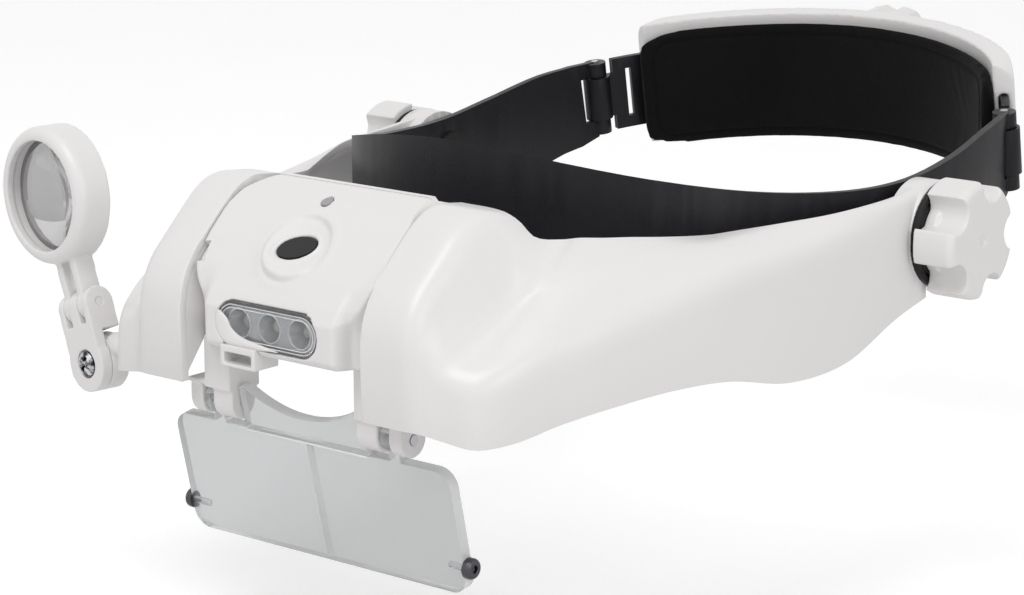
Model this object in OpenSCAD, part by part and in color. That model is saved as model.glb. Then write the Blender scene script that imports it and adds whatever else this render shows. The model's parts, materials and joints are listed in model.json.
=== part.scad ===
// Lighted headband magnifier: a tilting visor with a lamp, a flip-down lens
// plate and a side loupe, on a band with a geared size adjuster at the back.
// Millimetres. Origin: middle of the line through the two temple knobs.
// +X is the wearer's left, -Y is ahead of the wearer, +Z is up.

/* [Output] */
// Which sub-part to draw

/* [Headband] */
// Width over the outside of the band where it is widest
band_w = 152; // [140:1:165]
// Thickness of the band strip
band_t = 2; // [1.6:0.1:3]
// Plan radius of each side of the band
band_side_r = 145; // [120:1:180]
// Plan radius of the brow part
band_front_r = 68; // [60:1:74]
// How far the widest place lies behind the temple axis
band_wide_y = 15; // [5:1:25]
// Height of the top edge over the temple axis, at the brow
band_top_brow = 26.5; // [20:0.5:32]
// Height of the top edge at the temples
band_top_temple = 12; // [10:0.5:16]
// Depth of the bottom edge under the temple axis, at the temples
band_drop = 13; // [9:0.5:16]

/* [Rear adjuster] */
// How far the strap hinges lie behind the temple axis
pin_y = 59.2; // [50:0.5:70]
// Height of the middle of the strap hinges
pin_z = 11; // [5:0.5:16]
// Slope of the rear adjuster
rear_tilt = 9.2; // [0:0.2:15]
// Height of the straps
strap_h = 21; // [16:0.5:26]
// Thickness of the straps
strap_t = 2; // [1.6:0.1:3]
// Distance of the bend's centre ahead of the strap hinges
rear_back = 33; // [25:1:45]
// Half of the angle the housing covers
housing_half = 53; // [42:1:54]
// Top of the housing over its middle plane
housing_top = 19.5; // [17:0.5:24]
// Bottom of the housing under its middle plane
housing_bot = 16; // [15:0.5:20]
// Wall of the housing
housing_wall = 1.8; // [1.4:0.1:2.6]
// Thickness of the rear pad
pad_t = 4.2; // [3:0.2:8]
// Travel of the size adjuster to each side of the middle
size_travel = 3.5; // [2:0.5:4]
// Tooth size of the rack and pinion
gear_m = 1; // [0.8:0.1:1.2]
// Number of teeth on the pinion
gear_n = 10; // [9:1:12]
// Radius of the rear knob
rear_knob_r = 19; // [15:0.5:22]
// Depth of the rear knob
rear_knob_h = 10; // [8:0.5:14]

/* [Visor] */
// Distance between the outer faces of the arms
arm_w = 170; // [160:1:184]
// How far the front of the visor lies ahead of the temple axis
visor_front = 148.4; // [138:0.2:158]
// Wall of the visor
visor_wall = 2.2; // [1.8:0.1:3]
// Radius of the arm's end disc
arm_eye_r = 13.3; // [11:0.1:16]
// Largest tilt of the visor
visor_tilt_max = 60; // [40:5:70]

/* [Temple knobs] */
// Radius over the lobes of a temple knob
knob_r = 14.7; // [12:0.1:18]
// Depth of a temple knob
knob_h = 11; // [8:0.5:14]
// Diameter of the temple bolts
bolt_d = 5; // [4:0.5:6]

/* [Lamp] */
// Width of the lamp housing
lamp_w = 56.6; // [50:0.2:60]
// Width of the lamp window
window_w = 32; // [28:0.5:36]
// Height of the lamp window
window_h = 10.4; // [8:0.2:12]
// Height of the lamp window's middle
window_z = -9.8; // [-12:0.2:-6]
// Travel of the power button
button_travel = 0.8; // [0.5:0.1:1.2]

/* [Lens plate] */
// Width of the lens plate
plate_w = 87; // [80:1:95]
// Height of the lens plate
plate_h = 31; // [26:1:36]
// Thickness of the lens plate
plate_t = 3; // [2:0.2:4]
// Lean of the lens plate, its foot towards the face
plate_lean = 13; // [5:1:20]
// How far the plate's hinge lies ahead of the temple axis
hinge_y = 136; // [130:0.5:140]
// How far the plate's hinge lies under the temple axis
hinge_drop = 32.5; // [28:0.5:36]

/* [Loupe] */
// Radius over the loupe's ring
loupe_r = 17.1; // [14:0.1:20]
// Depth of the loupe's ring
loupe_depth = 9.3; // [6:0.5:12]
// Distance from the swing screw to the middle of the loupe
loupe_reach = 42.7; // [40:0.1:50]
// Lean of the loupe in its parked place
loupe_lean = 21.5; // [10:0.1:30]
// Turn of the loupe's mount to the side
loupe_turn = 7; // [0:1:15]

/* [Fits] */
// Radial play of a turning pin or screw
run_gap = 0.06; // [0.02:0.01:0.1]
// Play beside a sliding part
slide_gap = 0.25; // [0.15:0.05:0.4]
// Gap between faces that pass each other
face_gap = 0.12; // [0.05:0.01:0.3]

/* [Hidden] */
$fn = 64;
sink = 0.01;
side_cx = band_side_r - band_w / 2;
band_front_cy = band_wide_y - sqrt(pow(band_side_r - band_front_r, 2) - pow(side_cx, 2));
brow_y = band_front_cy - band_front_r;
tangent_a = atan2(band_wide_y - band_front_cy, side_cx);
pin_r = 1;
band_mid_r = band_side_r - band_t / 2;
pin_a = asin((pin_y - band_wide_y) / band_mid_r);
pin_x = band_mid_r * cos(pin_a) - side_cx;
knuckle_r = 3.1;
knuckle_h = 4;
strap_r = sqrt(pow(pin_x, 2) + pow(rear_back, 2));
pin_half = atan2(pin_x, rear_back);
strap_in = strap_r - strap_t / 2;
strap_out = strap_r + strap_t / 2;
size_slack = rear_back * size_travel / strap_r;
strap_bore_r = pin_r + size_slack + 0.25;
strap_knuckle_r = strap_bore_r + 1.1;
strap_knuckle_h = strap_h - 2 * knuckle_h - 0.6;
housing_out = strap_out + slide_gap + housing_wall;
cover_t = 1.4;
housing_in = strap_in - slide_gap - cover_t;
gear_pitch_r = gear_m * gear_n / 2;
gear_tip_r = gear_pitch_r + gear_m;
gear_root_r = gear_pitch_r - 1.25 * gear_m;
rack_pitch = PI * gear_m;
tooth_step = rack_pitch / strap_r * 180 / PI;
arm_x = arm_w / 2;
arm_in = band_w / 2 + 1.4;
bolt_r = bolt_d / 2;
washer_t = 1.6;
knob_x = arm_x + washer_t + face_gap;
seam_x = lamp_w / 2 + face_gap;
lamp_front = visor_front + 0.6;
lamp_back_y = lamp_front - 30.4;

// Shared shapes

// The rear adjuster's own frame: origin between the strap hinges
module rear_frame() {
  translate([0, pin_y, pin_z]) rotate([rear_tilt, 0, 0]) children();
}

// A bar bent about the rear centre; angles from the middle of the back
module rear_arc(r0, r1, w0, w1, a0, a1) {
  translate([0, -rear_back, 0])
    rotate([0, 0, 90 - a1])
      rotate_extrude(angle = a1 - a0)
        translate([r0, w0])
          square([r1 - r0, w1 - w0]);
}

// A cylinder along +X
module rod_x(r, h) {
  rotate([0, 90, 0]) cylinder(r = r, h = h);
}

// A cylinder along +Y
module rod_y(r, h) {
  rotate([-90, 0, 0]) cylinder(r = r, h = h);
}

// A rounded bar outline, w wide and h high, about the origin
module pill(w, h) {
  square([w - h, h], center = true);
  for (side = [-1, 1]) translate([side * (w - h) / 2, 0]) circle(d = h);
}

// A rectangle with rounded corners, about the origin
module soft_rect(w, h, r) {
  square([w - 2 * r, h], center = true);
  square([w, h - 2 * r], center = true);
  for (sx = [-1, 1])
    for (sy = [-1, 1])
      translate([sx * (w / 2 - r), sy * (h / 2 - r)]) circle(r = r);
}

// Value on a smooth line through knots [place, value]
function slope_at(k, i) =
  let (n = len(k) - 1)
  let (lo = max(i - 1, 0))
  let (hi = min(i + 1, n))
  (k[hi][1] - k[lo][1]) / (k[hi][0] - k[lo][0]);
function knot_below(k, s, i = 0) = (i >= len(k) - 2 || s < k[i + 1][0]) ? i : knot_below(k, s, i + 1);
function smooth_at(k, s) =
  let (i = knot_below(k, s))
  let (w = k[i + 1][0] - k[i][0])
  let (u = min(max((s - k[i][0]) / w, 0), 1))
  let (m0 = slope_at(k, i) * w)
  let (m1 = slope_at(k, i + 1) * w)
  (2 * pow(u, 3) - 3 * u * u + 1) * k[i][1] + (pow(u, 3) - 2 * u * u + u) * m0
  + (3 * u * u - 2 * pow(u, 3)) * k[i + 1][1] + (pow(u, 3) - u * u) * m1;

// Headband

band_top_line = [
  [brow_y, band_top_brow], [-83, 23.8], [-68, 19], [-45, 14.4], [-20, band_top_temple],
  [0, band_top_temple + 0.2], [20, band_top_temple + 3.2], [40, band_top_temple + 7.4],
  [pin_y, pin_z + strap_h / 2]
];
band_bottom_line = [
  [brow_y, -2], [-68, -3], [-45, -7], [-20, 1 - band_drop], [0, -band_drop],
  [20, 2 - band_drop], [40, 6.5 - band_drop], [50, 9.8 - band_drop], [pin_y, pin_z - strap_h / 2]
];
band_steps = 36;

// The band's side view, its rear end leaning with the strap hinges
module band_side() {
  lean = tan(rear_tilt);
  y_end = pin_y + sink;
  ys = [for (i = [0:band_steps]) brow_y - 1 + (pin_y - brow_y + 1) * i / band_steps];
  top = [for (y = ys) [y - (y > 50 ? (smooth_at(band_top_line, y) - pin_z) * lean : 0),
    smooth_at(band_top_line, y)]];
  low = [for (i = [0:band_steps]) let (y = ys[band_steps - i])
    [y - (y > 50 ? (smooth_at(band_bottom_line, y) - pin_z) * lean : 0),
    smooth_at(band_bottom_line, y)]];
  rotate([90, 0, 90])
    translate([0, 0, -band_w])
      linear_extrude(height = 2 * band_w)
        polygon(concat(top, low));
}

// The strip in plan, full height
module band_strip() {
  low = -40;
  high = 80;
  translate([0, band_front_cy, low])
    rotate([0, 0, 180 + tangent_a])
      rotate_extrude(angle = 180 - 2 * tangent_a)
        translate([band_front_r - band_t, 0])
          square([band_t, high]);
  for (side = [0, 1])
    mirror([side, 0, 0])
      translate([-side_cx, band_wide_y, low])
        rotate([0, 0, -tangent_a - 0.01])
          rotate_extrude(angle = tangent_a + pin_a + 0.01)
            translate([band_side_r - band_t, 0])
              square([band_t, high]);
}

// Strap hinge cylinder of one side, from w0 to w1
module hinge_post(side, r, w0, w1) {
  rear_frame()
    translate([side * pin_x, 0, w0])
      cylinder(r = r, h = w1 - w0);
}

module front_band() {
  color("#232427")
    difference() {
      union() {
        difference() {
          intersection() {
            band_strip();
            band_side();
          }
          for (side = [-1, 1])
            hinge_post(side, strap_knuckle_r + size_slack + 0.4,
              knuckle_h - strap_h / 2, strap_h / 2 - knuckle_h);
        }
        for (side = [-1, 1]) {
          hinge_post(side, knuckle_r, -strap_h / 2, knuckle_h - strap_h / 2);
          hinge_post(side, knuckle_r, strap_h / 2 - knuckle_h, strap_h / 2);
        }
      }
      for (side = [-1, 1])
        hinge_post(side, pin_r, -strap_h, strap_h);
      translate([-band_w, 0, 0]) rod_x(bolt_r, 2 * band_w);
    }
}

module band_hinge_pins() {
  color("#8C8E92")
    for (side = [-1, 1])
      hinge_post(side, pin_r, -strap_h / 2 - 0.4, strap_h / 2 + 0.4);
}

module on_sides() {
  children();
  mirror([1, 0, 0]) children();
}

liner_in = band_w / 2 - 4.2;
bolt_end = knob_x + 8;

// Hex-headed bolts through the band, clamped by the liners
module temple_bolts() {
  color("#9A9CA0")
    on_sides() {
      translate([liner_in - 3, 0, 0]) rotate([0, 90, 0]) cylinder(d = 8, h = 3 + sink, $fn = 6);
      translate([liner_in, 0, 0]) rod_x(bolt_r, bolt_end - liner_in);
    }
}

// Pads that spread each bolt head over the bent band
module temple_liners() {
  color("#303236")
    on_sides()
      difference() {
        intersection() {
          translate([liner_in, 0, 0]) rod_x(8, 10);
          translate([-side_cx, band_wide_y, -20])
            cylinder(r = band_side_r - band_t, h = 40, $fn = 480);
        }
        translate([liner_in - 1, 0, 0]) rod_x(bolt_r, 20);
      }
}

// Rear adjuster

// How far a rack runs past the middle of the back, in degrees
rack_past = 11;
// Where a strap widens to its full height, in degrees from the middle
strap_full = 24;
rack_root_w = gear_pitch_r + 1.25 * gear_m;
tooth_half = rack_pitch * 0.2;
tooth_draft = gear_m * tan(20);
channel_h = strap_h + 2 * slide_gap;
cover_h = strap_h + 7;
cover_half = housing_half - 3;
shaft_r = 3.2;
stub_r = 2;
cover_screw_r = 0.9;
cover_head_r = 1.7;
back_y = housing_out - rear_back;

// One tooth of a rack, hanging from the bar above the pinion
module rack_tooth() {
  root = 1.3 * gear_m;
  shy = 0.1;
  translate([0, strap_out - shy - rear_back, gear_pitch_r])
    rotate([90, 0, 0])
      linear_extrude(height = strap_t - 2 * shy)
        polygon([
          [-tooth_half - 1.3 * tooth_draft, root], [tooth_draft - tooth_half, -gear_m],
          [tooth_half - tooth_draft, -gear_m], [tooth_half + 1.3 * tooth_draft, root]
        ]);
}

// Strap with its hinge at +X; its rack runs over the pinion
module strap_body() {
  knuckle_room = knuckle_r + size_slack + 0.4;
  slot_a = pin_half - (knuckle_room + 5.6) / strap_r * 180 / PI;
  difference() {
    union() {
      difference() {
        rear_arc(strap_in, strap_out, -strap_h / 2, strap_h / 2, -rack_past, pin_half);
        rear_arc(strap_in - 1, strap_out + 1, -strap_h, rack_root_w, -rack_past - 5, strap_full);
      }
      for (k = [-4:3])
        translate([0, -rear_back, 0])
          rotate([0, 0, (k + 0.5) * tooth_step])
            translate([0, rear_back, 0])
              rack_tooth();
      translate([pin_x, 0, -strap_knuckle_h / 2])
        cylinder(r = strap_knuckle_r, h = strap_knuckle_h);
    }
    translate([pin_x, 0, -strap_h]) cylinder(r = strap_bore_r, h = 2 * strap_h);
    for (w = [strap_knuckle_h / 2, -strap_h - strap_knuckle_h / 2])
      translate([pin_x, 0, w]) cylinder(r = knuckle_room, h = strap_h);
    rear_arc(strap_in - 1, strap_out + 1, -strap_h * 0.34, strap_h * 0.34, slot_a, slot_a + 1.3);
  }
}

module left_strap() {
  color("#26272A") rear_frame() strap_body();
}

module right_strap() {
  color("#26272A") rear_frame() rotate([0, 180, 0]) strap_body();
}

// Places of the four screws that hold the cover
module at_cover_screws() {
  for (a = [-0.8, 0.8])
    for (w = [-1, 1])
      translate([0, -rear_back, 0])
        rotate([0, 0, a * cover_half])
          translate([0, housing_in, w * (cover_h / 2 - cover_head_r - 0.4)])
            children();
}

module rear_housing() {
  full_h = housing_top + housing_bot;
  color("#E6E4E3")
    rear_frame()
      difference() {
        intersection() {
          rear_arc(housing_in, housing_out, -housing_bot - 1, housing_top + 1,
            -housing_half, housing_half);
          translate([0, housing_out, housing_top - full_h / 2])
            rotate([90, 0, 0])
              linear_extrude(height = 2 * housing_out)
                soft_rect(2 * housing_out * sin(housing_half), full_h, 6);
        }
        rear_arc(strap_in - slide_gap, strap_out + slide_gap, -channel_h / 2, channel_h / 2,
          -housing_half - 1, housing_half + 1);
        rear_arc(housing_in - 1, strap_in - slide_gap + sink, -cover_h / 2, cover_h / 2,
          -cover_half, cover_half);
        rod_y(shaft_r + run_gap, 2 * housing_out);
        at_cover_screws() rod_y(cover_screw_r + run_gap, 4.5);
      }
}

module rear_cover() {
  edge = cover_h / 2 - 0.1;
  half = cover_half - 0.1;
  color("#D8D7D6")
    rear_frame()
      difference() {
        rear_arc(housing_in, strap_in - slide_gap, -edge, edge, -half, half);
        rod_y(stub_r + run_gap, 2 * housing_out);
        at_cover_screws() {
          rod_y(cover_screw_r + run_gap, 4);
          translate([0, -1, 0]) rod_y(cover_head_r + run_gap, 1.8);
        }
      }
}

module rear_screws() {
  color("#8C8E92")
    rear_frame()
      at_cover_screws() {
        translate([0, 0.1, 0]) rod_y(cover_head_r, 0.7);
        translate([0, 0.1, 0]) rod_y(cover_screw_r, 4.3);
      }
}

// Crowned cushion between the housing and the head
module rear_pad() {
  pad_h = housing_top + housing_bot - 1.5;
  crown_r = 110;
  pad_in = housing_in - 0.05 - pad_t;
  half = housing_half + 1.5;
  color("#17181A")
    rear_frame()
      intersection() {
        translate([0, -rear_back, housing_top - 2.5 - pad_h / 2])
          rotate([0, 0, 90 - half])
            rotate_extrude(angle = 2 * half)
              intersection() {
                translate([pad_in + pad_t / 2, 0]) soft_rect(pad_t, pad_h, 1.6);
                translate([pad_in + crown_r, 0]) circle(r = crown_r, $fn = 200);
              }
        translate([0, housing_out, housing_top - 2.5 - pad_h / 2])
          rotate([90, 0, 0])
            linear_extrude(height = 2 * housing_out)
              soft_rect(2 * housing_in * sin(half), pad_h, 9);
      }
}

// Scalloped knob outline, left larger than the limit that trims it
module lobed(r, lobes, cut_r, depth) {
  difference() {
    circle(r = r + 1);
    for (k = [0:lobes - 1])
      rotate([0, 0, 360 * k / lobes])
        translate([r - depth + cut_r, 0]) circle(r = cut_r);
  }
}

// Round-faced limit of a knob standing on +Z
module knob_limit(r, h, edge) {
  rotate_extrude()
    union() {
      square([r, h - edge]);
      square([r - edge, h]);
      translate([r - edge, h - edge]) circle(r = edge);
    }
}

module rear_knob() {
  socket = 6;
  color("#E4E2E1")
    rear_frame()
      translate([0, back_y + 0.4, 0])
        rotate([-90, 0, 0])
          difference() {
            intersection() {
              linear_extrude(height = rear_knob_h) lobed(rear_knob_r, 12, 3.2, 1.8);
              knob_limit(rear_knob_r, rear_knob_h, 2);
            }
            translate([0, 0, -1]) cylinder(r = shaft_r, h = socket + 1);
            translate([0, 0, rear_knob_h - 0.8]) cylinder(r = rear_knob_r * 0.55, h = 1);
          }
}

// Pinion with its shaft, which ends in the knob
module pinion() {
  gear_t = strap_t - 0.2;
  gear_y = strap_r - rear_back - gear_t / 2;
  tip_half = 0.24 * gear_m;
  root_half = 0.86 * gear_m;
  shaft_end = back_y + 0.4 + 6;
  color("#C9C8C6")
    rear_frame() {
      translate([0, gear_y, 0])
        rotate([-90, 0, 0])
          linear_extrude(height = gear_t)
            union() {
              circle(r = gear_root_r);
              for (k = [0:gear_n - 1])
                rotate([0, 0, 360 * k / gear_n])
                  polygon([
                    [-root_half, 0], [-root_half, gear_root_r], [-tooth_half, gear_pitch_r],
                    [-tip_half, gear_tip_r], [tip_half, gear_tip_r], [tooth_half, gear_pitch_r],
                    [root_half, gear_root_r], [root_half, 0]
                  ]);
            }
      translate([0, gear_y + gear_t - sink, 0]) rod_y(shaft_r, shaft_end - gear_y - gear_t);
      translate([0, housing_in - rear_back, 0]) rod_y(stub_r, gear_y - housing_in + rear_back + sink);
    }
}

// Visor

// Four rails that the arm's section follows, from the lamp seam to the temple. Each knot
// gives [length along, [share of the way out, share of the way ahead, height]].
rail_roof = [
  [0, [0, 0.765, 18]], [12, [0.214, 0.765, 17.6]], [16, [0.293, 0.761, 15.8]],
  [20, [0.364, 0.755, 12.4]], [25, [0.434, 0.728, 11.8]], [32, [0.461, 0.694, 11.6]],
  [38, [0.496, 0.654, 10.9]], [48, [0.532, 0.606, 10.2]], [60, [0.576, 0.539, 9]],
  [75, [0.629, 0.458, 7.9]], [90, [0.682, 0.414, 8.2]], [110, [0.788, 0.334, 9.1]],
  [130, [0.885, 0.243, 10]], [150, [0.92, 0.115, 10.8]], [168, [0.92, 0.034, 12]]
];
rail_crest = [
  [0, [0, 0.852, 19.6]], [12, [0.208, 0.852, 18.9]], [16, [0.265, 0.846, 16.5]],
  [20, [0.32, 0.836, 9]], [25, [0.39, 0.822, -1]], [32, [0.487, 0.795, 0]],
  [38, [0.558, 0.755, 2]], [48, [0.629, 0.694, 3.5]], [60, [0.673, 0.627, 5.2]],
  [75, [0.735, 0.539, 6]], [90, [0.806, 0.451, 6.3]], [110, [0.876, 0.337, 7.4]],
  [130, [0.947, 0.229, 9]], [150, [0.973, 0.115, 10.6]], [168, [0.982, 0.034, 11.6]]
];
rail_ridge = [
  [0, [0, 1, -1.2]], [12, [0.196, 0.998, -1.6]], [16, [0.244, 0.992, -2.6]],
  [20, [0.282, 0.978, -7]], [25, [0.35, 0.968, -12.5]], [32, [0.496, 0.95, -14.5]],
  [38, [0.572, 0.903, -12.2]], [48, [0.643, 0.829, -9.5]], [60, [0.723, 0.741, -5.7]],
  [75, [0.809, 0.627, -1]], [90, [0.875, 0.519, 2]], [110, [0.936, 0.384, 3.8]],
  [130, [0.979, 0.249, 4.8]], [150, [0.996, 0.121, 5.5]], [168, [1, 0.034, 6]]
];
rail_foot = [
  [0, [0, 0.996, -26.8]], [12, [0.208, 0.995, -26.9]], [16, [0.261, 0.991, -27]],
  [20, [0.314, 0.981, -27.6]], [25, [0.381, 0.973, -28.4]], [32, [0.505, 0.956, -29.5]],
  [38, [0.579, 0.903, -28.9]], [48, [0.647, 0.829, -26.4]], [60, [0.723, 0.741, -24.4]],
  [75, [0.809, 0.627, -22.9]], [90, [0.875, 0.519, -23.3]], [110, [0.929, 0.384, -27]],
  [130, [0.968, 0.249, -25.8]], [150, [0.993, 0.121, -18.4]], [168, [1, 0.034, -15]]
];
// Rounding of the section's bends
soft_line = [[0, 10], [16, 8], [25, 4], [38, 6], [75, 7], [168, 4]];
// How far the skin's inside steps in beside the raised cheek
cheek_line = [[0, 0], [12, 0], [16, 0.8], [25, 0.8], [32, 0], [60, 0], [168, 0]];
rail_stations = [
  0, 6, 12, 14, 16, 18, 20, 22.5, 25, 28.5, 32, 35, 38, 43, 48, 54, 60, 67, 75, 82, 90, 100, 110,
  120, 130, 140, 150, 159, 168
];

function rail_at(rail, s) =
  let (p = smooth_at(rail, s))
  [seam_x + p[0] * (arm_x - seam_x), -p[1] * visor_front, p[2]];

// Level direction from the skin towards its inside
function inward_at(s) =
  let (d = rail_at(rail_foot, s + 0.5) - rail_at(rail_foot, s - 0.5))
  [-d[1], d[0], 0] / norm([d[0], d[1]]);

// Points of a rounded corner at b, between a and c
function bend(a, b, c, reach, n) =
  let (p = b + (a - b) * min(reach / norm(a - b), 0.48))
  let (q = b + (c - b) * min(reach / norm(c - b), 0.48))
  [for (i = [0:n - 1]) let (u = i / (n - 1))
    p * pow(1 - u, 2) + b * 2 * u * (1 - u) + q * u * u];

// The arm's section as a closed loop of points, outside first
function arm_loop(s) =
  let (roof = rail_at(rail_roof, s))
  let (crest = rail_at(rail_crest, s))
  let (ridge = rail_at(rail_ridge, s))
  let (foot = rail_at(rail_foot, s))
  let (n = inward_at(s) * visor_wall)
  let (down = [0, 0, -visor_wall])
  let (aside = [-visor_wall * smooth_at(cheek_line, s), 0, 0])
  let (in_roof = roof + down + aside)
  let (in_crest = crest + 0.5 * n + 0.9 * down + aside)
  let (in_ridge = ridge + n + 0.2 * down + aside)
  let (in_foot = foot + n + aside)
  let (soft = smooth_at(soft_line, s))
  concat(
    [roof], bend(roof, crest, ridge, soft, 5), bend(crest, ridge, foot, soft, 6), [foot],
    [in_foot], bend(in_foot, in_ridge, in_crest, soft, 6),
    bend(in_ridge, in_crest, in_roof, soft, 5), [in_roof]
  );

module arm_loft() {
  loops = [for (s = rail_stations) arm_loop(s)];
  n = len(loops) - 1;
  m = len(loops[0]);
  quads = [for (i = [0:n - 1]) for (j = [0:m - 1])
    let (k = (j + 1) % m)
    [i * m + j, (i + 1) * m + j, (i + 1) * m + k, i * m + k]];
  first = [for (j = [0:m / 2 - 2]) [j, j + 1, m - 2 - j, m - 1 - j]];
  last = [for (f = first) [for (v = [3:-1:0]) f[v] + n * m]];
  halves = [for (f = concat(quads, first, last)) for (h = [0, 1])
    h == 0 ? [f[0], f[1], f[2]] : [f[0], f[2], f[3]]];
  polyhedron(points = [for (l = loops) each l], faces = halves);
}

bridge_t = 2.4;
bridge_y = lamp_back_y - bridge_t;
rib_t = 2;
belly_z = -16.5;

// Wall closing the arm beside the lamp
module arm_rib() {
  edge = [for (i = [0:12]) arm_loop(0)[i]];
  half = [for (i = [0:12]) [edge[i][1] + (i > 0 ? 0.3 : 0), edge[i][2] - 0.2]];
  translate([seam_x, 0, 0])
    rotate([90, 0, 90])
      linear_extrude(height = rib_t)
        polygon(concat(half, [[-visor_front + 8.9, belly_z], [-bridge_y, belly_z + 4],
          [bridge_t - bridge_y, belly_z + 4], [bridge_t - bridge_y, 17]]));
}

module visor_shell() {
  color("#EAE8E7")
    difference() {
      union() {
        on_sides() {
          arm_loft();
          translate([arm_in, 0, 0]) rod_x(arm_eye_r, arm_x - arm_in);
          arm_rib();
        }
        translate([-seam_x - 1, -bridge_y, belly_z + 4])
          cube([2 * seam_x + 2, bridge_t, 13.5 - belly_z]);
      }
      translate([-arm_w, 0, 0]) rod_x(bolt_r + run_gap, 2 * arm_w);
      loupe_stub(mount_stub_r + 0.02);
    }
}

module temple_washers() {
  color("#1E1F22")
    on_sides()
      translate([arm_x, 0, 0])
        difference() {
          rod_x(13, washer_t);
          translate([-1, 0, 0]) rod_x(bolt_r + run_gap, washer_t + 2);
          translate([washer_t - 0.5, 0, 0])
            difference() {
              rod_x(11.6, 1);
              rod_x(10.6, 1);
            }
        }
}

// Lamp

lamp_wall = 2.2;
lamp_half = lamp_w / 2;
slope_y = 10.7 - lamp_front;
slope_z = 7.8;
light_y = 21.1 - lamp_front;
light_z = 16.9;
// The lamp in side view, [place, height] from the top of its back round its front
lamp_side = [
  [-lamp_back_y, 19.2], [26.5 - lamp_front, 18.7], [light_y, light_z], [16 - lamp_front, 13],
  [slope_y, slope_z], [5.8 - lamp_front, 2.2], [2 - lamp_front, -3], [-lamp_front, -6.4],
  [-lamp_front, -15], [1.4 - lamp_front, belly_z], [-lamp_back_y, belly_z]
];
slope_a = 46.2;
dish_depth = 1;
dish_r = 51;

// The outline moved inwards by its wall
function inset_at(p, i, t) =
  let (n = len(p))
  let (a = p[(i + n - 1) % n])
  let (b = p[i])
  let (c = p[(i + 1) % n])
  let (u = (b - a) / norm(b - a))
  let (v = (c - b) / norm(c - b))
  let (nu = [-u[1], u[0]])
  let (nv = [-v[1], v[0]])
  b + (nu + nv) * t / (1 + nu * nv);

module along_x(half) {
  translate([-half, 0, 0])
    rotate([90, 0, 90])
      linear_extrude(height = 2 * half)
        children();
}

// Frame on the sloping face, its Z pointing out of the face
module slope_frame() {
  translate([0, slope_y, slope_z]) rotate([slope_a, 0, 0]) children();
}

module oval(w, h) {
  polygon([for (i = [0:47]) [w / 2 * cos(i * 7.5), h / 2 * sin(i * 7.5)]]);
}

module lamp_body() {
  top = 40;
  edge_r = 7;
  corner_r = 9;
  peak = lamp_side[0][1] + 0.3;
  intersection() {
    along_x(lamp_half) polygon(lamp_side);
    translate([0, 0, peak - top / 2])
      rotate([90, 0, 0])
        linear_extrude(height = 200)
          soft_rect(lamp_w, top, edge_r);
    translate([0, -lamp_front + top, belly_z - 1])
      linear_extrude(height = 60)
        soft_rect(lamp_w, 2 * top, corner_r);
  }
}

module lamp_housing() {
  n = len(lamp_side);
  color("#ECEAE9")
    difference() {
      lamp_body();
      along_x(lamp_half - 5.2)
        polygon(concat([for (i = [1:n - 2]) inset_at(lamp_side, i, lamp_wall)], [
          [1 - lamp_back_y, belly_z + lamp_wall], [1 - lamp_back_y, lamp_side[0][1] - lamp_wall]
        ]));
      translate([0, 5 - lamp_front, window_z])
        rotate([90, 0, 0])
          linear_extrude(height = 10)
            pill(window_w, window_h);
      slope_frame()
        translate([0, 0, -6])
          linear_extrude(height = 12)
            oval(11.7, 6.9);
      slope_frame() translate([0, 0, dish_r - dish_depth]) sphere(r = dish_r, $fn = 160);
      indicator_place() translate([0, 0, -6]) linear_extrude(height = 12) drop(1.5);
      translate([-8.4, 3.4 - lamp_front, belly_z - 1]) cube([11.2, 8.2, 6], center = true);
    }
}

module lamp_back() {
  t = 1.8;
  color("#DEDCDB")
    translate([0, 0.06 - lamp_back_y, 0])
      difference() {
        translate([-lamp_half, 0, belly_z]) cube([lamp_w, t, lamp_side[0][1] - belly_z]);
        for (side = [-1, 1])
          translate([side * lamp_half, -1, lamp_side[0][1]])
            rotate([0, 45, 0])
              cube([7, 8, 7], center = true);
      }
}

// Clear cap over the three lights
module lamp_lens() {
  depth = 2.4;
  front = lamp_front - 0.6;
  color([0.82, 0.85, 0.87, 0.45])
    translate([0, depth - front, window_z])
      rotate([90, 0, 0])
        difference() {
          union() {
            linear_extrude(height = depth) pill(window_w - 0.1, window_h - 0.1);
            linear_extrude(height = 0.8) pill(window_w + 1.6, window_h - 2);
          }
          translate([0, 0, -1]) linear_extrude(height = depth - 0.2) pill(window_w - 2.8, window_h - 2.8);
        }
}

light_step = 9.4;
light_front = lamp_front - 2;
light_depth = 5;

module at_lights() {
  for (k = [-1:1]) translate([k * light_step, light_depth - light_front, window_z]) children();
}

module lamp_reflector() {
  color("#B9BCC0")
    difference() {
      translate([0, light_depth - light_front, window_z])
        rotate([90, 0, 0])
          linear_extrude(height = light_depth)
            pill(window_w - 3, window_h - 3);
      at_lights()
        rotate([90, 0, 0]) {
          translate([0, 0, -1]) cylinder(r = 1.75, h = 3);
          translate([0, 0, 1.6]) cylinder(r1 = 1.75, r2 = 3.3, h = light_depth - 1.6 + sink);
        }
    }
}

module lamp_leds() {
  color("#F4F1DA")
    at_lights()
      rotate([90, 0, 0]) {
        cylinder(r = 1.6, h = 1.6);
        translate([0, 0, 1.6]) sphere(r = 1.6, $fn = 40);
      }
}

module lamp_board() {
  t = 1.2;
  board_w = window_w + 2;
  board_h = window_h - 1.6;
  color("#2F5D3A")
    translate([-board_w / 2, light_depth - light_front + 0.02, window_z - board_h / 2])
      cube([board_w, t, board_h]);
}

module battery_cell() {
  cell_w = lamp_w - 14.6;
  cell_r = 7.2;
  color("#3C4A63")
    translate([-cell_w / 2, -lamp_back_y - 0.7 - cell_r, -6.4]) rod_x(cell_r, cell_w);
}

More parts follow.
